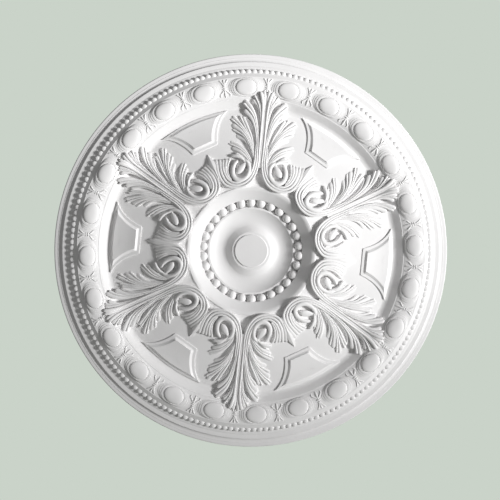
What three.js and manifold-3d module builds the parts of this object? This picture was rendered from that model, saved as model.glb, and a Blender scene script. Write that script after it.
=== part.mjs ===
// A ceiling rose: one casting with a flat back, a turned ground, an egg-and-dart band and
// six acanthus leaves that spring from scrolls round a beaded centre.
// Millimetres. It is drawn with its ornament facing +Z and a leaf along +Y, and the last
// group stands it up: ornament towards -Y, back at Y = 0, a leaf along +Z.
import * as THREE from 'three';
import { mergeVertices } from 'three/addons/utils/BufferGeometryUtils.js';
import Module from 'manifold-3d';

const wasm = await Module();
wasm.setup();

// Widths of the turned members, from the centre outwards
const centreDiscRadius = 33;
const centreRoundWidth = 7;
const dishFallWidth = 17;
const dishRiseWidth = 27;
const dishFilletWidth = 4.4;
const beadChannelWidth = 12.6;
const bowlStepWidth = 2;
const bowlSlopeWidth = 24;
const bowlRimWidth = 3;

// Widths of the turned members, from the outside inwards
const outerRadius = 400;
const edgeBandWidth = 10;
const edgeCoveWidth = 7;
const flatBandWidth = 9;
const pearlFilletWidth = 5;
const pearlBandWidth = 17;
const eggBandWidth = 41;
const fieldCoveWidth = 25;

// Heights of the members over the flat back
const centreDiscHeight = 41;
const centreDiscStep = 3;
const centreRoundDrop = 4;
const dishHeight = 27.5;
const dishFilletHeight = 36.5;
const beadChannelHeight = 32.5;
const bowlStepHeight = 43;
const bowlRimHeight = 56.5;
const fieldInnerHeight = 54;
const fieldOuterHeight = 16;
const eggBandInnerHeight = 26.5;
const eggBandOuterHeight = 30.5;
const pearlFilletHeight = 18.5;
const flatBandHeight = 16.5;
const edgeBandHeight = 10;
const edgeHeight = 9;

// Beads, eggs and darts
const beadDiameter = 18.8;
const beadGap = 1.6;
const beadLift = 3.3;
const eggPitch = 87.5;
const eggHalfLength = 18;
const eggHalfWidth = 14;
const eggRelief = 7;
const eggRound = 4;
const eggSquareness = 3;
const cartoucheHalfLength = 35;
const cartoucheHalfWidth = 18.5;
const cartoucheRelief = 3;
const dartHalfWidth = 7;
const dartTopHalfWidth = 2;
const dartRelief = 4;
const dartEndGap = 1;

// Tablets between the leaves
const tabletRelief = 7;
const tabletBorderRelief = 3.5;
const tabletDepth = 61;
const tabletHalfChord = 27;
const tabletHalfSpread = 72;
const tabletSpreadRise = 54;
const tabletBow = 6;
const tabletLap = 3;
const tabletBorderWidth = 9;
const tabletChordDraw = 7.2;
const tabletSpreadDraw = 19.8;
const tabletRiseDraw = 2.7;

// Leaves: relief over the field and over the egg band, and the way their tips climb to it
const leafRelief = 13;
const leafTipRelief = 9;
const leafClimbRun = 34;
const leafClimbLap = 10;
const ribDrop = 2.5;
const stemDrop = 2;
const fluteDepth = 4;
const fingerTipDrop = 3;

// How far applied ornament is rooted in the ground below it
const bandRoot = 1;
const fieldRoot = 4;

// Fineness of the facets
const turnSteps = 36;
const coveSteps = 2;
const roundSteps = 2;
const beadSides = 6;
const beadRows = 3;
const eggSides = 8;

// Radii of the members' edges
const centreRoundRadius = centreDiscRadius + centreRoundWidth;
const dishRadius = centreRoundRadius + dishFallWidth;
const dishFilletRadius = dishRadius + dishRiseWidth;
const beadChannelRadius = dishFilletRadius + dishFilletWidth;
const bowlStepRadius = beadChannelRadius + beadChannelWidth;
const bowlSlopeRadius = bowlStepRadius + bowlStepWidth;
const bowlRimRadius = bowlSlopeRadius + bowlSlopeWidth;
const fieldInnerRadius = bowlRimRadius + bowlRimWidth;
const edgeBandRadius = outerRadius - edgeBandWidth;
const edgeCoveRadius = edgeBandRadius - edgeCoveWidth;
const flatBandRadius = edgeCoveRadius - flatBandWidth;
const pearlFilletRadius = flatBandRadius - pearlFilletWidth;
const pearlBandRadius = pearlFilletRadius - pearlBandWidth;
const eggBandRadius = pearlBandRadius - eggBandWidth;
const fieldOuterRadius = eggBandRadius - fieldCoveWidth;

// Six leaves, each with its mirror-image halves
const leafCount = 6;
const leafAngle = (2 * Math.PI) / leafCount;

const lerp = THREE.MathUtils.lerp;
const smoothstep = THREE.MathUtils.smoothstep;

// A hollow moulding: a quarter of an ellipse, level at its low end, upright at its high end
function hollow(low, high, steps) {
  const points = [];
  for (let i = 1; i < steps; i++) {
    const turn = (i / steps) * (Math.PI / 2);
    points.push([
      low[0] + (high[0] - low[0]) * Math.sin(turn),
      low[1] + (high[1] - low[1]) * (1 - Math.cos(turn)),
    ]);
  }
  return points;
}

// The turned face from the centre to the rim, as [radius, height]
const dishTop = [centreRoundRadius, centreDiscHeight - centreDiscStep - centreRoundDrop];
const dishFloor = [dishRadius, dishHeight];
const dishLip = [dishFilletRadius, dishFilletHeight];
const bowlRim = [bowlRimRadius, bowlRimHeight];
const fieldFoot = [fieldOuterRadius, fieldOuterHeight];
const fieldHead = [eggBandRadius, eggBandInnerHeight];
const edgeFoot = [edgeBandRadius, edgeBandHeight];
const edgeHead = [edgeCoveRadius, flatBandHeight];
const face = [
  [0, centreDiscHeight],
  [centreDiscRadius, centreDiscHeight],
  [centreDiscRadius, centreDiscHeight - centreDiscStep],
  dishTop,
  dishFloor,
  ...hollow(dishFloor, dishLip, roundSteps),
  dishLip,
  [beadChannelRadius, dishFilletHeight],
  [beadChannelRadius, beadChannelHeight],
  [bowlStepRadius, beadChannelHeight],
  [bowlSlopeRadius, bowlStepHeight],
  bowlRim,
  [fieldInnerRadius, bowlRimHeight],
  [fieldInnerRadius, fieldInnerHeight],
  fieldFoot,
  ...hollow(fieldFoot, fieldHead, coveSteps),
  fieldHead,
  [pearlBandRadius, eggBandOuterHeight],
  [pearlFilletRadius, pearlFilletHeight],
  [flatBandRadius, flatBandHeight],
  edgeHead,
  ...hollow(edgeFoot, edgeHead, roundSteps).reverse(),
  edgeFoot,
  [outerRadius, edgeHeight],
];

// The sloping field's height, carried on past its ends
function fieldHeight(radius) {
  const share = (radius - fieldInnerRadius) / (fieldOuterRadius - fieldInnerRadius);
  return lerp(fieldInnerHeight, fieldOuterHeight, share);
}

// Solids and their joining
function solidOf(geometry) {
  const bare = geometry.clone();
  bare.deleteAttribute('normal');
  bare.deleteAttribute('uv');
  const merged = mergeVertices(bare, 1e-4);
  return new wasm.Manifold(new wasm.Mesh({
    numProp: 3,
    vertProperties: new Float32Array(merged.attributes.position.array),
    triVerts: new Uint32Array(merged.index.array),
  }));
}

function geometryOf(solid) {
  const mesh = solid.getMesh();
  const geometry = new THREE.BufferGeometry();
  geometry.setAttribute('position', new THREE.BufferAttribute(mesh.vertProperties, 3));
  geometry.setIndex(new THREE.BufferAttribute(mesh.triVerts, 1));
  return geometry;
}

// Joined two by two, so that no join is much larger than the pieces in it
function joined(solids) {
  let round = solids;
  while (round.length > 1) {
    const next = [];
    for (let i = 0; i < round.length; i += 2) {
      next.push(i + 1 < round.length ? round[i].add(round[i + 1]) : round[i]);
    }
    round = next;
  }
  return round[0];
}

// Turned round the centre. The facets start a quarter step off the leaves' axes, so that
// none of their edges runs along a leaf's midrib.
function turned(profile) {
  const points = profile.map(([r, z]) => new THREE.Vector2(r, z));
  const offset = (2 * Math.PI) / turnSteps / 4;
  return solidOf(new THREE.LatheGeometry(points, turnSteps, offset).rotateX(Math.PI / 2));
}

// Copies of a geometry round the centre, the first one at the angle from +Y given
function ringOf(geometry, count, first) {
  const copies = [];
  for (let i = 0; i < count; i++) {
    const turn = first + (i * 2 * Math.PI) / count;
    copies.push(solidOf(geometry.clone().rotateZ(-turn)));
  }
  return copies;
}

// A closed bar through rings of corners, with flat ends. The corners of each ring run
// anticlockwise when looked at against the bar's direction.
function barThrough(rings) {
  const corners = rings[0].length;
  const index = [];
  for (let i = 0; i + 1 < rings.length; i++) {
    for (let j = 0; j < corners; j++) {
      const a = i * corners + j;
      const b = i * corners + ((j + 1) % corners);
      index.push(a, b, a + corners, b, b + corners, a + corners);
    }
  }
  const last = (rings.length - 1) * corners;
  for (let j = 1; j + 1 < corners; j++) {
    index.push(0, j + 1, j);
    index.push(last, last + j, last + j + 1);
  }
  const geometry = new THREE.BufferGeometry();
  geometry.setAttribute('position', new THREE.Float32BufferAttribute(rings.flat(2), 3));
  geometry.setIndex(index);
  return geometry;
}

// A boss of stacked outlines: each level is [half length, half width, height], and the
// outline is a square with well rounded corners
function boss(levels, sides, squareness) {
  const rings = levels.map(([halfLength, halfWidth, height]) => {
    const ring = [];
    for (let i = 0; i < sides; i++) {
      const turn = ((i + 0.5) * 2 * Math.PI) / sides;
      const c = Math.cos(turn);
      const s = Math.sin(turn);
      const reach = (Math.abs(c) ** squareness + Math.abs(s) ** squareness) ** (-1 / squareness);
      ring.push([halfLength * reach * c, halfWidth * reach * s, height]);
    }
    return ring;
  });
  return barThrough(rings);
}

// The turned ground, with its flat back
const ground = turned([[0, 0], [outerRadius, 0], ...[...face].reverse()]);

// Beads in their channel
const beadRadius = beadDiameter / 2;
const beadRing = beadChannelRadius + beadRadius;
const beadsPerLeaf = Math.round((leafAngle * beadRing) / (beadDiameter + beadGap));
const beadCount = leafCount * beadsPerLeaf;
const bead = new THREE.SphereGeometry(beadRadius, beadSides, beadRows)
  .rotateX(Math.PI / 2)
  .translate(0, beadRing, beadChannelHeight + beadLift);
const beads = ringOf(bead, beadCount, Math.PI / beadCount);

// Eggs in their cartouches, with darts between them
const eggRing = (eggBandRadius + pearlBandRadius) / 2;
const eggsPerLeaf = Math.round((leafAngle * eggRing) / eggPitch);
const eggCount = leafCount * eggsPerLeaf;
const eggBandTilt = Math.atan2(eggBandOuterHeight - eggBandInnerHeight, eggBandWidth);
const eggBandHeight = (eggBandInnerHeight + eggBandOuterHeight) / 2;

// Puts ornament drawn on a level band onto the tilted egg band
function onEggBand(geometry) {
  return geometry.rotateX(eggBandTilt).translate(0, eggRing, eggBandHeight);
}

const egg = onEggBand(boss([
  [cartoucheHalfLength, cartoucheHalfWidth, -bandRoot],
  [eggHalfLength, eggHalfWidth, cartoucheRelief],
  [eggHalfLength - eggRound, eggHalfWidth - eggRound, eggRelief],
], eggSides, eggSquareness));
const eggs = ringOf(egg, eggCount, Math.PI / eggCount);
const dartHalfLength = eggBandWidth / 2 - dartEndGap;

function dartFrom(start) {
  return onEggBand(barThrough([start, dartHalfLength].map((y) => [
    [-dartHalfWidth, y, -bandRoot],
    [-dartTopHalfWidth, y, dartRelief],
    [dartTopHalfWidth, y, dartRelief],
    [dartHalfWidth, y, -bandRoot],
  ])));
}

// The leaves' tips lie over the inner half of the darts on their axes
const darts = [];
for (let i = 0; i < eggCount; i++) {
  const start = i % eggsPerLeaf === 0 ? 0 : -dartHalfLength;
  darts.push(solidOf(dartFrom(start).rotateZ((-i * 2 * Math.PI) / eggCount)));
}

// Raised tablets between the leaves, in two steps, with their sides bowed inwards. The
// upper step is drawn in from the lower one by the border's width.
const tabletFoot = fieldOuterHeight - fieldRoot;
const tabletStart = fieldOuterRadius - tabletDepth;

function tabletStep(start, chord, spread, rise, head, relief) {
  const corner = start + rise;
  const side = [
    [chord, start],
    [(chord + spread) / 2 - tabletBow, (start + corner) / 2 + tabletBow],
    [spread, corner],
    [chord, head],
  ];
  const outline = [...side, ...side.map(([x, y]) => [-x, y]).reverse()];
  const foot = outline.map(([x, y]) => [x, y, tabletFoot]);
  const top = outline.map(([x, y]) => [x, y, fieldHeight(y) + relief]);
  return ringOf(barThrough([foot, top]), leafCount, leafAngle / 2);
}

const tabletHead = fieldOuterRadius + tabletLap;
const tablets = [
  ...tabletStep(
    tabletStart, tabletHalfChord, tabletHalfSpread, tabletSpreadRise, tabletHead, tabletBorderRelief,
  ),
  ...tabletStep(
    tabletStart + tabletBorderWidth, tabletHalfChord - tabletChordDraw,
    tabletHalfSpread - tabletSpreadDraw, tabletSpreadRise - tabletRiseDraw,
    tabletHead - tabletBorderWidth, tabletRelief,
  ),
];

// Leaves are drawn on a grid of hundredths: across the leaf's axis, and out from the
// rose's centre, where the bowl's rim is at 32 and the egg band starts at 77.75
const leafGridFoot = 32;
const leafGridHead = 77.75;
const leafUnit = (eggBandRadius - bowlRimRadius) / (leafGridHead - leafGridFoot);

function leafPoint([across, out]) {
  return [across * leafUnit, bowlRimRadius + (out - leafGridFoot) * leafUnit];
}

// The height of the leaf's crests: they follow the field and climb its cove to the egg band
function crestHeight(radius) {
  const start = fieldOuterRadius - leafClimbRun;
  const climb = smoothstep(radius, start, eggBandRadius + leafClimbLap);
  return lerp(fieldHeight(radius) + leafRelief, eggBandInnerHeight + leafTipRelief, climb);
}

// A closed slab under a sheet of triangles, each corner an [across, out, drop]: upright
// sides go down from the sheet's edges into the ground. The drop is counted from the
// height of the leaf's crests.
const slabFoot = fieldOuterHeight - fieldRoot;

function slab(triangles) {
  const corners = triangles.flat().map(([across, out, drop]) => {
    const [x, y] = leafPoint([across, out]);
    return [x, y, crestHeight(Math.hypot(x, y)) - drop];
  });
  const sheet = new THREE.BufferGeometry();
  sheet.setAttribute('position', new THREE.Float32BufferAttribute(corners.flat(), 3));
  const merged = mergeVertices(sheet, 1e-3);
  const tops = Array.from(merged.attributes.position.array);
  const count = tops.length / 3;
  const feet = tops.map((value, i) => (i % 3 === 2 ? slabFoot : value));
  const top = Array.from(merged.index.array);
  const index = [];
  const edges = new Map();
  for (let i = 0; i < top.length; i += 3) {
    const [p, q, r] = top.slice(i, i + 3);
    index.push(p, q, r, count + p, count + r, count + q);
    for (const [from, to] of [[p, q], [q, r], [r, p]]) {
      if (!edges.delete(`${to} ${from}`)) edges.set(`${from} ${to}`, [from, to]);
    }
  }
  for (const [from, to] of edges.values()) {
    index.push(from, count + from, count + to, from, count + to, to);
  }
  const geometry = new THREE.BufferGeometry();
  geometry.setAttribute('position', new THREE.Float32BufferAttribute([...tops, ...feet], 3));
  geometry.setIndex(index);
  return geometry;
}

// The triangles of a sheet that is given as rows of corners
function sheetOf(rows) {
  const triangles = [];
  for (let i = 0; i + 1 < rows.length; i++) {
    for (let j = 0; j + 1 < rows[i].length; j++) {
      const [a, b, c, d] = [rows[i][j], rows[i][j + 1], rows[i + 1][j + 1], rows[i + 1][j]];
      triangles.push([a, b, c], [a, c, d]);
    }
  }
  return triangles;
}

function mirrored(triangles) {
  return triangles.map((corners) => corners.map(([across, out, drop]) => [-across, out, drop]).reverse());
}

// A curve by its root, its bend and its tip
function sweep([root, bend, tip], share) {
  return [0, 1].map((k) => {
    const first = lerp(root[k], bend[k], share);
    const second = lerp(bend[k], tip[k], share);
    return lerp(first, second, share);
  });
}

// The stem of the leaf, on the leaf's grid: it narrows from its foot to the tip's fan
const stemFoot = 44;
const stemHead = 73;
const stemFootWidth = 4.6;
const stemHeadWidth = 2.5;

function stemEdge(out) {
  const share = (out - stemFoot) / (stemHead - stemFoot);
  return [lerp(stemFootWidth, stemHeadWidth, Math.sqrt(share)), out, stemDrop];
}

// A lobe of the leaf: fluted fingers fanned from the stem's edge to the lobe's margin, with
// their tips rounded down and the flutes between them cut back. Its roots are shares of the
// stem's length, its upper and lower sides are each a bend and a tip on the leaf's grid, and
// the bulge rounds its margin.
const fingerRise = 0.62;
const fluteCutBack = 0.14;

function lobe({ roots, upper, lower, fingers, bulge }) {
  const lines = 2 * fingers + 1;
  return [0, fingerRise, 1].map((share) => {
    const row = [];
    for (let j = 0; j < lines; j++) {
      const place = j / (lines - 1);
      const crest = j % 2 === 1;
      const root = stemEdge(lerp(stemFoot, stemHead, lerp(roots[0], roots[1], place)));
      const [bend, tip] = [0, 1].map((k) => [0, 1].map((c) => lerp(upper[k][c], lower[k][c], place)));
      const reach = Math.hypot(tip[0] - bend[0], tip[1] - bend[1]);
      const grown = 1 + (bulge * Math.sin(Math.PI * place)) / reach;
      const end = [0, 1].map((c) => lerp(bend[c], tip[c], grown));
      const cut = crest || share < 1 ? 0 : fluteCutBack;
      const drop = (share < 1 ? 0 : fingerTipDrop) + (crest ? 0 : fluteDepth * share);
      row.push(share === 0 ? root : [...sweep([root, bend, end], share - cut), drop]);
    }
    return row;
  });
}

// The four lobes of a half leaf, from its foot to its tip
const lobes = [
  {
    roots: [0.155, 0.035], fingers: 2, bulge: 0.9,
    upper: [[8.4, 53.8], [16.6, 54.7]], lower: [[8.2, 48], [14.0, 47.8]],
  },
  {
    roots: [0.465, 0.207], fingers: 3, bulge: 0.9,
    upper: [[8.2, 64.5], [16.6, 67.9]], lower: [[8.0, 54], [14.2, 56.2]],
  },
  {
    roots: [0.759, 0.552], fingers: 2, bulge: 1.2,
    upper: [[5.0, 71], [9.6, 76.9]], lower: [[6.0, 64.5], [11.4, 68.6]],
  },
  {
    roots: [0.931, 0.862], fingers: 1, bulge: 0.8,
    upper: [[3.4, 75], [4.6, 79.2]], lower: [[5.0, 72], [7.8, 74.6]],
  },
].map(lobe);

// The stem between the midrib and the roots of the lobes
const rib = (out) => [0, out, ribDrop];
const stem = lobes.flatMap((rows, i) => {
  const before = i > 0 ? lobes[i - 1][0][0] : stemEdge(stemFoot);
  const line = [before, ...[...rows[0]].reverse()];
  const foot = rib(before[1]);
  const fan = line.slice(1).map((corner, j) => [foot, line[j], corner]);
  return [...fan, [foot, line.at(-1), rib(line.at(-1)[1])]];
});

// The tip's fan, from the stem's head to its notch, crest and side
const lastRoot = lobes.at(-1)[0][0];
const tipNotch = [0, 79, 4];
const tipCrest = [2.1, 80.4, 1];
const tipSide = [4.0, 78.4, 5];
const tip = [
  [rib(lastRoot[1]), lastRoot, tipCrest],
  [rib(lastRoot[1]), tipCrest, tipNotch],
  [lastRoot, tipSide, tipCrest],
];
const halfLeaf = [...stem, ...tip, ...lobes.flatMap(sheetOf)];

// A rolled band of a scroll: it follows a smooth path, and each side of it has its own drop
function band({ path, halfWidths, drops, steps }) {
  const curve = new THREE.CatmullRomCurve3(path.map(([across, out]) => new THREE.Vector3(across, out, 0)));
  const widths = new THREE.CatmullRomCurve3(halfWidths.map((half, i) => new THREE.Vector3(i, half, 0)));
  const rows = [[], []];
  for (let i = 0; i <= steps; i++) {
    const at = curve.getPoint(i / steps);
    const along = curve.getTangent(i / steps);
    const half = widths.getPoint(i / steps).y;
    rows[0].push([at.x + along.y * half, at.y - along.x * half, drops[1]]);
    rows[1].push([at.x - along.y * half, at.y + along.x * half, drops[0]]);
  }
  return sheetOf(rows);
}

const stemRoll = band({
  path: [
    [2.0, 45.5], [2.2, 42], [3.7, 36.7], [7.7, 32.8], [12.4, 32.0], [16.6, 34.6], [18.4, 39.0], [17.6, 43.6],
  ],
  halfWidths: [1.9, 1.8, 1.8, 1.8, 1.7, 1.5, 1.2, 0.7],
  drops: [-1, 2],
  steps: 6,
});
const innerLip = band({
  path: [[5.8, 45.2], [5.2, 41.5], [6.4, 37.2], [9.6, 35.0], [12.8, 37.0], [12.8, 41.4], [9.6, 43.4]],
  halfWidths: [0.7, 1.1, 1.3, 1.4, 1.6, 1.6, 0.8],
  drops: [0, -2],
  steps: 5,
});
const scrollLeaflet = band({
  path: [[7.2, 44.2], [10.8, 46.4], [14.6, 46.6]],
  halfWidths: [0.7, 1.0, 0.8],
  drops: [2, 4],
  steps: 2,
});
const scroll = [stemRoll, innerLip, scrollLeaflet];

// Palmette that two neighbouring scrolls share, drawn across the line between two leaves
const halfPalmette = sheetOf([
  [[2.9, 42.4, 3], [6.2, 47.5, 4]],
  [[1.0, 40.6, 1], [2.7, 49.0, 3]],
  [[0, 38.6, 3], [0, 52.6, 0]],
]);
const palmette = slab([...halfPalmette, ...mirrored(halfPalmette)]);
const palmettes = ringOf(palmette, leafCount, leafAngle / 2);

const leafSolids = [
  slab([...halfLeaf, ...mirrored(halfLeaf)]),
  ...scroll.map(slab),
  ...scroll.map(mirrored).map(slab),
].map(solidOf);
const leaves = ringOf(geometryOf(joined(leafSolids)), leafCount, 0);

// All of it is one casting
const rose = joined([
  joined([ground, ...beads]),
  joined(eggs),
  joined(darts),
  joined(tablets),
  joined(palmettes),
  joined(leaves),
]);
const primedWhite = new THREE.MeshStandardMaterial({ color: 0xf1f0f1, roughness: 0.6, metalness: 0 });
const casting = new THREE.Mesh(geometryOf(rose), primedWhite);
casting.name = 'ceiling_rose';

const upright = new THREE.Group();
upright.rotation.x = Math.PI / 2;
upright.add(casting);
export default upright;
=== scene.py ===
# A ceiling rose, 800 mm across: one moulded casting of rigid polyurethane foam, primed white.
import math
import bpy
from mathutils import Matrix, Vector


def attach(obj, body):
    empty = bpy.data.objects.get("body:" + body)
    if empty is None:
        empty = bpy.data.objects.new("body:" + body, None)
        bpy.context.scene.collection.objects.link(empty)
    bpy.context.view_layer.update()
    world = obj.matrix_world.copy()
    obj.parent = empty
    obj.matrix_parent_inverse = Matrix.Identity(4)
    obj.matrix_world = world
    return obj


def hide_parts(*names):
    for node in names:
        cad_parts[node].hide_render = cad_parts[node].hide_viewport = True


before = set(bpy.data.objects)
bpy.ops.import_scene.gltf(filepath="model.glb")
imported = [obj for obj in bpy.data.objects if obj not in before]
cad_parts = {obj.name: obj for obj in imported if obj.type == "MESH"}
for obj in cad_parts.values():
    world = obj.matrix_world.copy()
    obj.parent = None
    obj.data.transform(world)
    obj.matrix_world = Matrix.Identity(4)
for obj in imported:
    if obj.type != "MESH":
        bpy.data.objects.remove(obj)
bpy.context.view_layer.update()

# Turned ground: the disc that carries all the ornament, with its flat back. Its pattern is run
# with a profile cutter round a centre pin, so each member is a true circle, and the primer
# leaves every edge a little soft.
mm = 0.001
turn_facets = 300
smooth_angle = math.radians(38)
seam_distance = 1e-6


def quarter(start, end, steps, level_first):
    """The points after start of a quarter ellipse to end, level at first or upright at first."""
    points = []
    for i in range(1, steps + 1):
        turn = math.pi / 2 * i / steps
        far, near = math.sin(turn), 1 - math.cos(turn)
        a, b = (far, near) if level_first else (near, far)
        points.append((start[0] + (end[0] - start[0]) * a, start[1] + (end[1] - start[1]) * b))
    return points


def bend(start, end, steps):
    """The points after start of a parabola to end, level at start and steepest at end."""
    points = []
    for i in range(1, steps + 1):
        share = i / steps
        rise = share * share
        points.append((start[0] + (end[0] - start[0]) * share, start[1] + (end[1] - start[1]) * rise))
    return points


# The field falls straight from the bowl to the cove, and the egg band is a little crowned. Both
# are given as a radius and a height over the back, in millimetres.
field_inner = (130, 54)
field_outer = (286, 16)
band_crest = (336, 31.4)
band_curve = 0.0075
band_edges = (311.2, 351.2)


def field_height(radius):
    share = (radius - field_inner[0]) / (field_outer[0] - field_inner[0])
    return field_inner[1] + (field_outer[1] - field_inner[1]) * share


def band_height(radius):
    return band_crest[1] - band_curve * (radius - band_crest[0]) ** 2


# Each member of the profile is in millimetres: its radius, and its height over the back. A corner
# that a curve starts or ends at has its own name.
disc_edge = (32, 41)
dish_shoulder = (51, 29.3)
dish_low = (60, 27.2)
dish_high = (83.6, 36)
channel_side = (88.5, 33.2)
bowl_shoulder = (120, 54)
bowl_top = (127.4, 56.4)
cove_foot = (287, 16)
pearl_fillet_foot = (373.8, 17)
edge_cove_top = (383.2, 14.6)
rim_corner = (397, 9.2)
field_run = (131, 285)
band_steps = 10
centre_disc = [(0, 41), disc_edge, *quarter(disc_edge, (33, 40), 3, True), (33.4, 38.7)]
dish_fall = [
    (34.2, 38.3), (37.4, 38.4), (38.6, 38), (39.6, 37.3), dish_shoulder,
    *reversed(bend(dish_low, dish_shoulder, 6)[:-1]),
]
dish = [dish_low, *bend(dish_low, dish_high, 12)]
dish_fillet = [(84.2, 36.6), (87.6, 36.6), (88.2, 36), channel_side]
bead_channel = [*quarter(channel_side, (94, 32), 3, False), (101.2, 32.2), (102.4, 34)]
bowl = [(103, 42.4), (103.8, 43.6), bowl_shoulder, *reversed(bend(bowl_top, bowl_shoulder, 5)[:-1])]
bowl_rim = [bowl_top, (128.8, 56.4), (129.6, 55.8), (130, 54.4)]
field = [(radius, field_height(radius)) for radius in field_run]
field_cove = [cove_foot, *bend(cove_foot, (297, 19.2), 6), (305.6, 25), (307.8, 25.6)]
egg_fillet = [(308.4, 26.2), (310.4, 26.2), (311, 26.6)]
egg_ground = []
for i in range(band_steps + 1):
    radius = band_edges[0] + (band_edges[1] - band_edges[0]) * i / band_steps
    egg_ground.append((radius, band_height(radius)))
pearl_slope = [(352.2, 29.8), (353.2, 29), (367.6, 19.4)]
pearl_fillet = [(368.4, 19), (369.2, 18.6), (373, 17.9), pearl_fillet_foot]
flat_band = [(374.6, 16.7), (381.6, 16.2), (382.6, 15.8), (383, 14.9)]
edge_cove = quarter(edge_cove_top, (390.8, 10.4), 8, False)
outer_edge = [(391.4, 10.4), (392, 9.8), rim_corner, *quarter(rim_corner, (399.3, 6.8), 4, True)]
back = [(399.4, 1.2), (398.4, 0), (0, 0)]
profile = [
    *centre_disc, *dish_fall, *dish, *dish_fillet, *bead_channel, *bowl, *bowl_rim, *field, *field_cove,
    *egg_fillet, *egg_ground, *pearl_slope, *pearl_fillet, *flat_band, *edge_cove, *outer_edge, *back,
]


def settle(piece, angle=smooth_angle):
    """Closes the piece's seams, points its faces outwards and smooths all but its sharp edges."""
    bpy.ops.object.select_all(action="DESELECT")
    piece.select_set(True)
    bpy.context.view_layer.objects.active = piece
    bpy.ops.object.mode_set(mode="EDIT")
    bpy.ops.mesh.select_all(action="SELECT")
    bpy.ops.mesh.remove_doubles(threshold=seam_distance)
    bpy.ops.mesh.normals_make_consistent(inside=False)
    bpy.ops.object.mode_set(mode="OBJECT")
    bpy.ops.object.shade_smooth_by_angle(angle=angle)


def keep_flats(piece):
    """Lets the large faces set the smooth shading, so that flat members look flat to their edges."""
    bpy.context.view_layer.objects.active = piece
    weighted = piece.modifiers.new("weighted", "WEIGHTED_NORMAL")
    weighted.keep_sharp = True
    bpy.ops.object.modifier_apply(modifier=weighted.name)


bpy.ops.object.select_all(action="DESELECT")
bpy.ops.mesh.primitive_plane_add(size=mm)
turned_ground = bpy.context.object
turned_ground.name = "turned_ground"
bpy.ops.object.mode_set(mode="EDIT")
bpy.ops.mesh.select_all(action="SELECT")
bpy.ops.mesh.merge(type="CENTER")
corner = Vector((0, 0, 0))
for i, (radius, height) in enumerate(profile):
    following = Vector((radius * mm, -height * mm, 0))
    if i == 0:
        bpy.ops.transform.translate(value=following - corner)
    else:
        bpy.ops.mesh.extrude_vertices_move(TRANSFORM_OT_translate={"value": following - corner})
    corner = following
bpy.ops.mesh.select_all(action="SELECT")
bpy.ops.mesh.spin(steps=turn_facets, angle=2 * math.pi, center=(0, 0, 0), axis=(0, 1, 0))
bpy.ops.object.mode_set(mode="OBJECT")
settle(turned_ground)
keep_flats(turned_ground)

# Beads: a ring of turned balls set in the channel round the dish, cast in one with the ground.
bead_count = 30
bead_ring = 97.6
bead_radius = 9.3
bead_height = 35.8
bead_segments = 20
bead_rings = 12


def ring_of(name, model, count, first=0.0):
    """Copies of a model round the centre, joined to one piece, and the model itself removed."""
    copies = []
    for i in range(count):
        copy = model.copy()
        copy.data = model.data.copy()
        copy.data.transform(Matrix.Rotation(first + 2 * math.pi * i / count, 4, "Y"))
        bpy.context.collection.objects.link(copy)
        copies.append(copy)
    bpy.data.objects.remove(model)
    bpy.ops.object.select_all(action="DESELECT")
    for copy in copies:
        copy.select_set(True)
    bpy.context.view_layer.objects.active = copies[0]
    bpy.ops.object.join()
    copies[0].name = name
    return copies[0]


def ball(ring, height, across, high, out, segments, rings):
    """A ball squeezed to its half sizes, on the axis of a leaf at a radius and a height."""
    bpy.ops.object.select_all(action="DESELECT")
    bpy.ops.mesh.primitive_uv_sphere_add(segments=segments, ring_count=rings, radius=mm)
    bpy.ops.object.mode_set(mode="EDIT")
    bpy.ops.mesh.select_all(action="SELECT")
    bpy.ops.transform.resize(value=(across, high, out))
    bpy.ops.transform.translate(value=(0, -height * mm, ring * mm))
    bpy.ops.object.mode_set(mode="OBJECT")
    bpy.ops.object.shade_smooth()
    return bpy.context.object


bead = ball(bead_ring, bead_height, bead_radius, bead_radius, bead_radius, bead_segments, bead_rings)
beads = ring_of("bead_ring", bead, bead_count, math.pi / bead_count)

# Pearls: a row of small drops, eight to an egg, on the slope outside the egg band.
pearl_count = 192
pearl_ring = 361.8
pearl_height = 23.4
pearl_across = 5.8
pearl_high = 1.9
pearl_out = 6
pearl_segments = 8
pearl_rings = 6
pearl = ball(pearl_ring, pearl_height, pearl_across, pearl_high, pearl_out, pearl_segments, pearl_rings)
pearls = ring_of("pearl_row", pearl, pearl_count, math.pi / pearl_count)

# Eggs: smooth oval bosses, each on a stepped cartouche whose three terraces go down to both
# sides. Each is modelled ring by ring from a circle, and its terraces are then squared.
egg_count = 24
egg_ring = 331.5
egg_segments = 48
terrace_squareness = 2.5
egg_levels = [
    # half length, half width, height over the egg band, squareness of the outline
    (34.6, 19.4, -2, terrace_squareness), (34.2, 19.3, 0.7, terrace_squareness),
    (30.4, 19, 1.0, terrace_squareness), (30, 18.9, 1.9, terrace_squareness),
    (26.2, 18.6, 2.2, terrace_squareness), (25.8, 18.5, 3.1, terrace_squareness),
    (22, 17.6, 3.4, 2.2), (21.2, 17, 2.4, 2.1), (20.8, 16.7, 3.2, 2), (20.2, 16.2, 4.4, 2),
    (19.2, 15.4, 5.2, 2), (17.6, 14.1, 5.8, 2), (14.8, 11.9, 6.3, 2), (10.8, 8.7, 6.7, 2),
    (5.6, 4.5, 6.9, 2),
]
bpy.ops.object.select_all(action="DESELECT")
bpy.ops.mesh.primitive_circle_add(vertices=egg_segments, radius=mm, rotation=(math.pi / 2, 0, 0))
egg = bpy.context.object
bpy.ops.object.transform_apply(rotation=True)
bpy.ops.object.mode_set(mode="EDIT")
bpy.ops.mesh.select_all(action="SELECT")
length_before, width_before, height_before = 1, 1, 0
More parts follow.
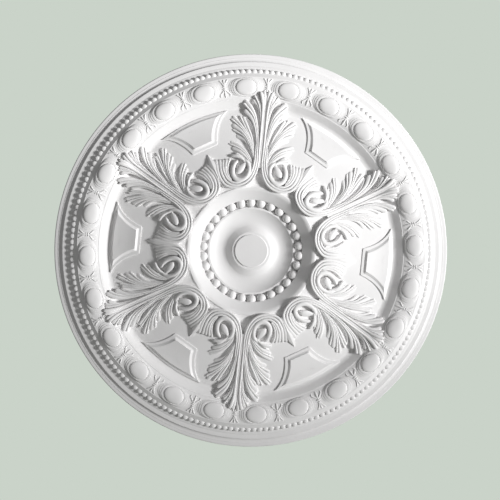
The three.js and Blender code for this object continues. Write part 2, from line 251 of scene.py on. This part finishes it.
for i, (length, width, height, _) in enumerate(egg_levels):
    if i > 0:
        bpy.ops.mesh.extrude_edges_move()
    bpy.ops.transform.resize(value=(length / length_before, 1, width / width_before))
    bpy.ops.transform.translate(value=(0, (height_before - height) * mm, 0))
    length_before, width_before, height_before = length, width, height
bpy.ops.mesh.edge_face_add()
bpy.ops.object.mode_set(mode="OBJECT")
for i, vertex in enumerate(egg.data.vertices):
    length, width, _, squareness = egg_levels[i // egg_segments]
    x, z = vertex.co.x / length, vertex.co.z / width
    grown = math.hypot(x, z) / (abs(x) ** squareness + abs(z) ** squareness) ** (1 / squareness)
    vertex.co.x *= grown
    vertex.co.z = vertex.co.z * grown + egg_ring * mm
    vertex.co.y -= band_height(math.hypot(vertex.co.x, vertex.co.z) / mm) * mm
settle(egg)
eggs = ring_of("eggs", egg, egg_count, math.pi / egg_count)

# Acanthus leaves: six sprays of carved lobes. Each lobe is a fan of long flutes that leave the
# stem side by side and end in a scalloped margin, which rolls down to the field. They are
# lofted in code along drawn lines, because no primitive gives a carved leaf.

# The lines are drawn on a grid of hundredths of the rose's radius: across the leaf's axis, and
# out from the rose's centre. Radii, heights and drops are in millimetres.
grid = 4.0
leaf_count = 6
leaf_relief = 9.6
scroll_lift = 4
lift_end = 205
lift_start = 140
tip_height = 38
climb_start = 252
climb_end = 321

# A finger's section arches down to its sides, and its end is rounded or pointed. Its reach is
# given in half widths, and its arch and fall at the tip as shares of the crown.
finger_foot = 10
finger_sides = 8
finger_steps = 22
finger_narrowest = 0.05
round_reach = 1.3
pointed_reach = 2.6
pointed_power = 0.75
arch_power = 2.2
arch_at_tip = 0.4
tip_fall = 0.9
vein_width = 0.35
way_steps = 8
tip_crowding = 1.5
carved_angle = math.radians(50)


def smooth_share(value, low, high):
    share = min(max((value - low) / (high - low), 0), 1)
    return share * share * (3 - 2 * share)


def crest_height(radius):
    """The height of the leaves' crests over the back, in millimetres."""
    lift = scroll_lift * (1 - smooth_share(radius, lift_start, lift_end))
    on_field = field_height(radius) + leaf_relief + lift
    return on_field + (tip_height - on_field) * smooth_share(radius, climb_start, climb_end)


def curve_at(path, share):
    """A point of the smooth curve through a path's points, with all their values."""
    spans = len(path) - 1
    i = min(int(share * spans), spans - 1)
    t = share * spans - i
    a, b, c, d = path[max(i - 1, 0)], path[i], path[i + 1], path[min(i + 2, spans)]
    return [
        0.5 * (2 * q + (r - p) * t + (2 * p - 5 * q + 4 * r - s) * t * t + (3 * q - p - 3 * r + s) * t ** 3)
        for p, q, r, s in zip(a, b, c, d)
    ]


def stations(path, steps):
    """Points along a path, closer together towards its tip, each with its way still to go."""
    count = steps * way_steps
    fine = [curve_at(path, i / count) for i in range(count + 1)]
    gone = [0.0]
    for here, there in zip(fine, fine[1:]):
        gone.append(gone[-1] + math.hypot(there[0] - here[0], there[1] - here[1]))
    found = []
    k = 0
    for i in range(steps + 1):
        wanted = gone[-1] * (1 - (1 - i / steps) ** tip_crowding)
        while k < len(gone) - 2 and gone[k + 1] < wanted:
            k += 1
        found.append((fine[k] if i < steps else fine[-1], gone[-1] - wanted))
    return found


def loft(shape, rings):
    """Adds a closed tube through rings of corners, with flat ends."""
    points, faces = shape
    first, sides = len(points), len(rings[0])
    for ring in rings:
        points.extend(ring)
    for i in range(len(rings) - 1):
        for j in range(sides):
            a, b = first + i * sides + j, first + i * sides + (j + 1) % sides
            faces.append((a, b, b + sides, a + sides))
    last = first + (len(rings) - 1) * sides
    faces.append(tuple(range(first, first + sides)))
    faces.append(tuple(range(last, last + sides)))


def finger(shape, path, crown=2.0, groove=0.0, steps=finger_steps, pointed=False, level=crest_height):
    """A carved finger. Each point of its path is across, out, half width and drop from the level."""
    rings = []
    line = stations(path, steps)
    for i, (here, left) in enumerate(line):
        ahead, behind = line[min(i + 1, steps)][0], line[max(i - 1, 0)][0]
        run = Vector((ahead[0] - behind[0], ahead[1] - behind[1])).normalized()
        side = Vector((run.y, -run.x))
        reach = here[2] * (pointed_reach if pointed else round_reach)
        near = min(left / reach, 1)
        rounded = near ** pointed_power if pointed else math.sqrt(1 - (1 - near) ** 2)
        half = max(here[2] * rounded, finger_narrowest)
        ring = []
        for j in range(finger_sides + 1):
            t = 2 * j / finger_sides - 1
            x, z = here[0] + side.x * half * t, here[1] + side.y * half * t
            arch = crown * abs(t) ** arch_power * (arch_at_tip + (1 - arch_at_tip) * rounded)
            arch += crown * tip_fall * (1 - rounded)
            vein = groove * max(1 - abs(t) / vein_width, 0) * rounded
            height = level(math.hypot(x, z) * grid) - here[3] - arch - vein
            ring.append((x * grid * mm, -height * mm, z * grid * mm))
        for t in (1, -1):
            x, z = here[0] + side.x * half * t, here[1] + side.y * half * t
            ring.append((x * grid * mm, -finger_foot * mm, z * grid * mm))
        rings.append(ring)
    loft(shape, rings)


def piece_of(name, shape):
    """A piece from a shape's points and faces."""
    mesh = bpy.data.meshes.new(name)
    mesh.from_pydata(shape[0], [], shape[1])
    piece = bpy.data.objects.new(name, mesh)
    bpy.context.collection.objects.link(piece)
    settle(piece, carved_angle)
    return piece


def mirrored(shape):
    """A shape with its mirror image across the leaf's axis."""
    points, faces = shape
    shift = len(points)
    return (
        points + [(-x, y, z) for x, y, z in points],
        faces + [tuple(shift + k for k in face) for face in faces],
    )


# A lobe's flutes are unevenly wide and long, overlap a little, and drop to the lobe's edges.
flute_crown = 1.3
flute_steps = 28
flute_unevenness = 0.16
flute_ragged = 0.35
flute_overlap = 1.04
lobe_edge_drop = 3.0


def fan(shape, upper, lower, count, bulge):
    """A lobe of flutes between its two edge lines. Each point is across, out and drop."""
    bounds = [0]
    for k in range(1, count):
        bounds.append((k + (flute_unevenness if k % 2 else -flute_unevenness)) / count)
    bounds.append(1)
    for k, (low, high) in enumerate(zip(bounds, bounds[1:])):
        share = (low + high) / 2
        middle = 1 - (2 * share - 1) ** 2
        line = [[p + (q - p) * share for p, q in zip(a, b)] for a, b in zip(upper, lower)]
        last, before = line[-1], line[-2]
        reach = math.hypot(last[0] - before[0], last[1] - before[1])
        longer = bulge * middle + (flute_ragged if k % 2 else -flute_ragged)
        for axis in (0, 1):
            last[axis] += (last[axis] - before[axis]) / reach * longer
        path = []
        for i, (here, a, b) in enumerate(zip(line, upper, lower)):
            ahead, behind = line[min(i + 1, len(line) - 1)], line[max(i - 1, 0)]
            run = Vector((ahead[0] - behind[0], ahead[1] - behind[1])).normalized()
            half = abs(run.x * (b[1] - a[1]) - run.y * (b[0] - a[0])) * (high - low) / 2
            path.append((here[0], here[1], half * flute_overlap, here[2] + lobe_edge_drop * (1 - middle)))
        finger(shape, path, crown=flute_crown, steps=flute_steps)


half_leaf = ([], [])
# Lowest lobe
fan(half_leaf, [(2.6, 42, 2.4), (5.0, 46.8, 1.6), (7.8, 50.6, 1.6), (11.6, 53.2, 3.0), (16.6, 55.0, 7.6)],
    [(4.0, 41.2, 3.2), (6.6, 44.6, 2.2), (9.0, 46.4, 2.4), (11.2, 47.6, 3.6), (13.4, 48.2, 7.6)], 4, 1.0)
# Middle lobe, and its inner leaflet
fan(half_leaf, [(2.2, 46, 2.2), (4.2, 53.2, 1.2), (7.8, 59.4, 1.2), (11.9, 64.2, 2.4), (16.0, 68.0, 7.6)],
    [(3.4, 43.6, 3.0), (5.2, 48.4, 2.0), (6.9, 52.2, 2.0), (9.2, 54.8, 3.2), (13.0, 55.9, 7.6)], 5, 1.9)
fan(half_leaf, [(3.8, 53, 3.0), (5.5, 58.5, 2.6), (7.4, 62.4, 2.6), (9.9, 67.4, 6.5)],
    [(4.6, 52.2, 3.2), (7.0, 57.8, 2.8), (9.6, 62.0, 3.0), (12.6, 66.8, 6.5)], 2, 0.5)
# Upper lobe
fan(half_leaf, [(1.3, 52, 2.0), (2.3, 61, 1.0), (4.3, 68.8, 0.6), (7.0, 73.4, 1.6), (10.6, 77.0, 6.6)],
    [(2.3, 49.6, 2.8), (3.8, 56.2, 1.8), (5.0, 60.4, 1.8), (6.5, 63.6, 2.8), (9.0, 66.0, 6.6)], 4, 1.5)
# Small lobe beside the tip
fan(half_leaf, [(1.0, 62, 1.8), (1.6, 69, 1.0), (2.6, 75, 1.0), (4.0, 79.8, 5)],
    [(1.6, 58, 2.6), (2.6, 66.6, 1.8), (3.9, 72.0, 2.0), (7.2, 75.4, 5)], 3, 0.7)
# Midrib
finger(half_leaf, [
    (0, 42, 0.5, 2.6), (0, 56, 0.7, 2.4), (0, 68, 0.7, 2.4), (0, 79, 0.8, 3.4),
], crown=0.8, steps=30)
# Ridges beside the midrib, which open into the tip's fan
finger(half_leaf, [
    (0.95, 44, 0.35, 1.4), (1.1, 54, 0.5, 0.6), (1.15, 64, 0.5, 0.2), (1.3, 72, 0.6, 0),
    (2.0, 77, 0.85, -0.4), (3.2, 80.6, 0.85, 1.2),
], crown=1.6, steps=30)
finger(half_leaf, [
    (0.5, 70, 0.4, 3.4), (0.55, 74, 0.55, 2.6), (0.8, 77.5, 0.75, 1.6), (1.3, 80.9, 0.7, 2.4),
], crown=1.2)
leaf = piece_of("leaf", mirrored(half_leaf))
leaves = ring_of("acanthus_leaves", leaf, leaf_count)

# Scrolls: a pair at the foot of each leaf. The stem's flutes roll under the leaf and open into
# a fan, a rolled lip curls round a deep eye inside them, and a leaflet lies over the top. Two
# neighbouring fans share a pointed palmette on the line between two leaves.
half_scroll = ([], [])
for lines in (
    [
        (1.25, 60, 0.3, 2.0), (1.0, 50, 0.45, 1.2), (0.95, 44.5, 0.55, 0.8), (1.6, 39.8, 0.6, 0.8),
        (3.1, 36, 0.6, 1.0), (5.6, 33.1, 0.6, 1.4), (9, 31.4, 0.6, 1.8), (12.8, 31, 0.6, 1.8),
        (16.7, 32, 0.65, 1.4), (19.6, 35.4, 0.8, 1.0), (21.3, 39.6, 0.95, 1.6), (22.3, 44.1, 0.9, 6.2),
    ],
    [
        (2.2, 58, 0.3, 2.0), (2.0, 50, 0.45, 1.0), (1.95, 44.6, 0.55, 0.4), (2.7, 40.2, 0.6, 0.4),
        (4.1, 36.8, 0.6, 0.4), (6.4, 34.2, 0.6, 0.6), (9.4, 32.6, 0.6, 0.8), (12.6, 32.2, 0.6, 0.8),
        (16.0, 33.4, 0.65, 0.8), (18.5, 36.6, 0.75, 0.6), (19.7, 40.2, 0.85, 1.6), (20.4, 44.4, 0.8, 6.2),
    ],
    [
        (2.9, 54, 0.3, 2.0), (2.9, 48, 0.4, 0.8), (3.0, 44.4, 0.5, 0), (3.7, 40.6, 0.55, -0.2),
        (5.1, 37.5, 0.55, -0.2), (7.2, 35.3, 0.55, 0), (9.8, 33.8, 0.55, 0.2), (12.6, 33.5, 0.55, 0.2),
        (15.4, 34.8, 0.6, 0.4), (17.4, 37.6, 0.65, 0.6), (18.4, 40.6, 0.75, 1.6), (18.6, 44.6, 0.75, 6.2),
    ],
    [
        (13.6, 34.4, 0.4, 1.4), (15.3, 36, 0.5, 1.0), (16.7, 38.4, 0.6, 1.2), (17.2, 41.4, 0.7, 1.8),
        (16.9, 45.1, 0.7, 6.2),
    ],
    [
        (13.6, 34.9, 0.35, 1.8), (14.9, 36.6, 0.45, 1.6), (15.9, 38.8, 0.5, 2.0), (16.1, 41.8, 0.6, 2.6),
        (15.3, 45.3, 0.65, 6.4),
    ],
):
    finger(half_scroll, lines, crown=1.3, steps=44)
# Rolled lip, and the curled leaf that leaves a deep eye beside it
finger(half_scroll, [
    (9.0, 45.4, 0.5, 2.4), (7.0, 44.9, 0.75, 0.6), (5.5, 42.8, 0.95, -0.8), (5.2, 39.8, 1.0, -1.4),
    (6.2, 37.0, 1.05, -1.6), (8.5, 35.2, 1.1, -1.6), (11.2, 35.3, 1.15, -1.5), (13.0, 37.3, 1.15, -1.4),
    (13.4, 40.3, 1.1, -1.0), (12.7, 43.0, 0.95, -0.4), (11.2, 44.9, 0.7, 1.6),
], crown=2.2, steps=40)
finger(half_scroll, [
    (7.7, 43.8, 0.6, 1.4), (8.4, 42.4, 1.2, 0.0), (9.4, 40.8, 1.6, -0.8), (10.4, 39.2, 1.4, -0.6),
    (11.2, 38.0, 0.8, 0.8),
], crown=2.0, steps=24)
# Leaflet over the scroll, and a smaller one beyond it
finger(half_scroll, [
    (6.6, 43.4, 0.4, 2.0), (9.4, 46.0, 0.7, 0.4), (12.2, 46.9, 0.85, 0.6), (15.0, 46.7, 0.7, 3.4),
])
finger(half_scroll, [(8.2, 45.2, 0.4, 2.4), (10.6, 47.2, 0.6, 1.4), (12.9, 48.4, 0.6, 3.0)])
# Middle finger of the palmette, drawn across the line between two leaves
palmette = ([], [])
finger(palmette, [
    (0, 36.5, 0.3, 4.0), (0, 40, 0.6, 1.4), (0, 44, 1.1, 1.0), (0, 48.4, 1.5, 2.4), (0, 53.2, 1.1, 6.6),
], crown=1.5, groove=-0.8, pointed=True)
scroll = piece_of("scroll", mirrored(half_scroll))
scrolls = ring_of("scrolls", scroll, leaf_count)
palmettes = ring_of("palmettes", piece_of("palmette", palmette), leaf_count, math.pi / leaf_count)

# Tablets: raised panels between the leaves, slightly dished. Each is framed by a flat band with
# a broad chamfer up to the panel, and the frame's corners are mitred.
tablet_outer = [(27, 225), (45, 259), (72, 279)]
tablet_inner = [(18.7, 235.1), (31, 258), (48.6, 275.7)]
tablet_head = (287.5, 279.8)
tablet_levels = [
    # share of the frame's width gone, height over the field
    (0, -6), (0, 1.6), (0.05, 2), (0.5, 2.2), (0.56, 2.5), (0.94, 5.4),
    *[(share, 5.7) for share in (1.0, 1.1, 1.5, 2.0, 2.5, 3.0)],
]
panel_start = 1.0
panel_dish = 0.002
panel_dish_radius = 260
side_steps = 14
head_steps = 24


def tablet_outline(share):
    """The tablet's outline at a share of its frame's width: chord, side, head and side."""
    foot, bow, top = [
        [a + (b - a) * share for a, b in zip(outer, inner)]
        for outer, inner in zip(tablet_outer, tablet_inner)
    ]
    head = tablet_head[0] + (tablet_head[1] - tablet_head[0]) * share
    right = []
    for i in range(side_steps + 1):
        t = i / side_steps
        right.append([
            (1 - t) ** 2 * a + 2 * t * (1 - t) * (2 * b - (a + c) / 2) + t * t * c
            for a, b, c in zip(foot, bow, top)
        ])
    spread = math.asin(top[0] / head)
    for i in range(1, head_steps):
        turn = spread * (1 - i / head_steps)
        right.append([head * math.sin(turn), head * math.cos(turn)])
    return right + [[-x, z] for x, z in reversed(right)]


tablet = ([], [])
rings = []
for share, relief in tablet_levels:
    ring = []
    for x, z in tablet_outline(share):
        dish_rise = panel_dish * (z - panel_dish_radius) ** 2 if share >= panel_start else 0
        height = field_height(min(z, field_outer[0])) + relief + dish_rise
        ring.append((x * mm, -height * mm, z * mm))
    rings.append(ring)
loft(tablet, rings)
tablet_piece = piece_of("tablet", tablet)
keep_flats(tablet_piece)
tablets = ring_of("tablets", tablet_piece, leaf_count, math.pi / leaf_count)

# Darts: between the eggs, a small tassel with two cross bars, three fingers above it and a
# finger between two curls below. They are cast in one with the egg band.
dart_relief = 2.6
dart_crown = 0.9
dart_steps = 10
dart_slimness = 0.85
dart_drop = 0.5
egg_line = egg_ring / grid
dart = ([], [])


def dart_level(radius):
    return band_height(radius) + dart_relief


for path in (
    [(0, 1.2, 0.3, 2), (0, 2.6, 0.45, 1.4), (0, 4.7, 0.5, 2.2)],
    [(0.2, 1.0, 0.25, 2.4), (0.8, 2.8, 0.4, 1.8), (2.2, 4.6, 0.45, 2.8)],
    [(-0.2, 1.0, 0.25, 2.4), (-0.8, 2.8, 0.4, 1.8), (-2.2, 4.6, 0.45, 2.8)],
    [(-1.0, 0.9, 0.2, 3), (-0.3, 0.95, 0.35, 1.6), (0.3, 0.95, 0.35, 1.6), (1.0, 0.9, 0.2, 3)],
    [(-1.1, -0.1, 0.2, 3), (-0.3, -0.05, 0.4, 1.2), (0.3, -0.05, 0.4, 1.2), (1.1, -0.1, 0.2, 3)],
    [(0, -0.4, 0.4, 2), (0, -2.4, 0.5, 1.2), (0, -4.6, 0.4, 2.8)],
    [(0.3, -0.6, 0.25, 2.6), (1.3, -1.8, 0.4, 1.8), (2.5, -3.0, 0.4, 2.0), (2.2, -4.2, 0.35, 3.0)],
    [(-0.3, -0.6, 0.25, 2.6), (-1.3, -1.8, 0.4, 1.8), (-2.5, -3.0, 0.4, 2.0), (-2.2, -4.2, 0.35, 3.0)],
):
    placed = [(x, z + egg_line, half * dart_slimness, drop * dart_drop) for x, z, half, drop in path]
    finger(dart, placed, crown=dart_crown, steps=dart_steps, level=dart_level)
darts = ring_of("darts", piece_of("dart", dart), egg_count)

# Primed polyurethane: the smooth skin of the moulded foam under a factory primer that is
# sprayed on, so the eye sees an even matte white with a very fine orange peel. The peel's dimples
# are 2.4 mm apart, and the white clouds over faintly about every 70 mm.
peels_per_metre = 420.0
peel_depth = 0.6
clouds_per_metre = 14.0
primer = bpy.data.materials.new("primed_moulded_polyurethane")
primer.use_nodes = True
tree = primer.node_tree
shader = tree.nodes["Principled BSDF"]


def linear(colour):
    """An sRGB hex value as linear red, green, blue and 1."""
    values = [int(colour[k:k + 2], 16) / 255 for k in (0, 2, 4)]
    return [v / 12.92 if v <= 0.04045 else ((v + 0.055) / 1.055) ** 2.4 for v in values] + [1]


def node(kind, inputs=(), **settings):
    """A node of the tree with its settings, and its inputs set or linked."""
    made = tree.nodes.new(kind)
    for name, value in settings.items():
        setattr(made, name, value)
    for name, value in dict(inputs).items():
        if isinstance(value, bpy.types.NodeSocket):
            tree.links.new(value, made.inputs[name])
        else:
            made.inputs[name].default_value = value
    return made


place = node("ShaderNodeTexCoord").outputs["Object"]
cloud = node("ShaderNodeTexNoise", {"Vector": place, "Scale": clouds_per_metre, "Detail": 3.0})
whites = {0: cloud.outputs["Fac"], 6: linear("e9e8e8"), 7: linear("f4f3f3")}
tone = node("ShaderNodeMix", whites, data_type="RGBA")
peel = node("ShaderNodeTexNoise", {"Vector": place, "Scale": peels_per_metre, "Detail": 2.0})
skin = node("ShaderNodeBump", {"Height": peel.outputs["Fac"], "Strength": 0.1, "Distance": peel_depth * mm})
tree.links.new(tone.outputs[2], shader.inputs["Base Color"])
tree.links.new(skin.outputs["Normal"], shader.inputs["Normal"])
shader.inputs["Roughness"].default_value = 0.55
shader.inputs["IOR"].default_value = 1.5
for piece in (turned_ground, beads, pearls, eggs, leaves, scrolls, palmettes, tablets, darts):
    piece.data.materials.clear()
    piece.data.materials.append(primer)
    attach(piece, "root")
    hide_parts("ceiling_rose")

# Floor: plain and pale, well below the rose, which is shown as it hangs.
floor_size = 5
floor_place = (0, -1.0, -1.2)
bpy.ops.object.select_all(action="DESELECT")
bpy.ops.mesh.primitive_plane_add(size=floor_size, location=floor_place)
floor = bpy.context.object
floor.name = "floor"
floor_paint = bpy.data.materials.new("floor_paint")
floor_paint.use_nodes = True
floor_shader = floor_paint.node_tree.nodes["Principled BSDF"]
floor_shader.inputs["Base Color"].default_value = linear("d9dbd6")
floor_shader.inputs["Roughness"].default_value = 0.8
floor.data.materials.append(floor_paint)

# Camera: straight at the face, a degree from the left and from above, and rolled. Its distance,
# the width of its frame and its aim are in metres.
roll = math.radians(5.7)
aside = math.radians(1)
distance = 4.5
frame_width = 1.0140
sensor_width = 36
aim_depth = 0.02
aim_left = 0.0022
aim_up = 0.0016
forward = Vector((0, -1, 0))
right = Vector((math.cos(roll), 0, math.sin(roll)))
up = Vector((-math.sin(roll), 0, math.cos(roll)))
towards = (forward - right * math.tan(aside) + up * math.tan(aside)).normalized()
camera = bpy.data.objects.new("camera", bpy.data.cameras.new("camera"))
bpy.context.collection.objects.link(camera)
camera_right = up.cross(towards).normalized()
camera_up = towards.cross(camera_right)
aim = forward * aim_depth - camera_right * aim_left + camera_up * aim_up
turn = Matrix((camera_right, camera_up, towards)).transposed()
camera.matrix_world = Matrix.Translation(aim + towards * distance) @ turn.to_4x4()
camera.data.sensor_width = sensor_width
camera.data.lens = sensor_width * distance / frame_width
bpy.context.scene.camera = camera

# Light: one broad lamp far to the right, low over the face. Its beam is aimed above the rose,
# so the light falls off from the top of the face to its bottom. A weak lamp behind lights the
# back, and the surround is weak and neutral.
light_lift = math.radians(34)
light_distance = 12
beam_above = 2.0
beam_aside = 0.6
beam_radius = 3.2
key_watts = 12900
lamp_spread = math.radians(6)
rear_place = Vector((1.5, 3.0, 1.5))
rear_size = 2.5
rear_watts = 60
surround_strength = 0.18
source = right * math.cos(light_lift) + forward * math.sin(light_lift)
beam_aim = up * beam_above + up.cross(source).normalized() * beam_aside
key = bpy.data.objects.new("key", bpy.data.lights.new("key", "SPOT"))
key.data.energy = key_watts
key.data.spot_size = 2 * math.atan2(beam_radius, light_distance)
key.data.spot_blend = 1
key.data.shadow_soft_size = light_distance * math.tan(lamp_spread)
key.location = source * light_distance
key.rotation_mode = "QUATERNION"
key.rotation_quaternion = (key.location - beam_aim).to_track_quat("Z", "Y")
bpy.context.collection.objects.link(key)
rear = bpy.data.objects.new("rear", bpy.data.lights.new("rear", "AREA"))
rear.data.energy = rear_watts
rear.data.size = rear_size
rear.location = rear_place
rear.rotation_mode = "QUATERNION"
rear.rotation_quaternion = rear_place.to_track_quat("Z", "Y")
bpy.context.collection.objects.link(rear)

world = bpy.data.worlds.new("surround")
bpy.context.scene.world = world
world.use_nodes = True
tree = world.node_tree
tree.nodes.clear()
seen = node("ShaderNodeBackground", {"Color": linear("cad3c9")})
given = node("ShaderNodeBackground", {"Color": linear("ffffff"), "Strength": surround_strength})
ray = node("ShaderNodeLightPath")
surrounds = {0: ray.outputs["Is Camera Ray"], 1: given.outputs[0], 2: seen.outputs[0]}
mixed = node("ShaderNodeMixShader", surrounds)
node("ShaderNodeOutputWorld", {"Surface": mixed.outputs[0]})
bpy.context.scene.view_settings.view_transform = "Standard"
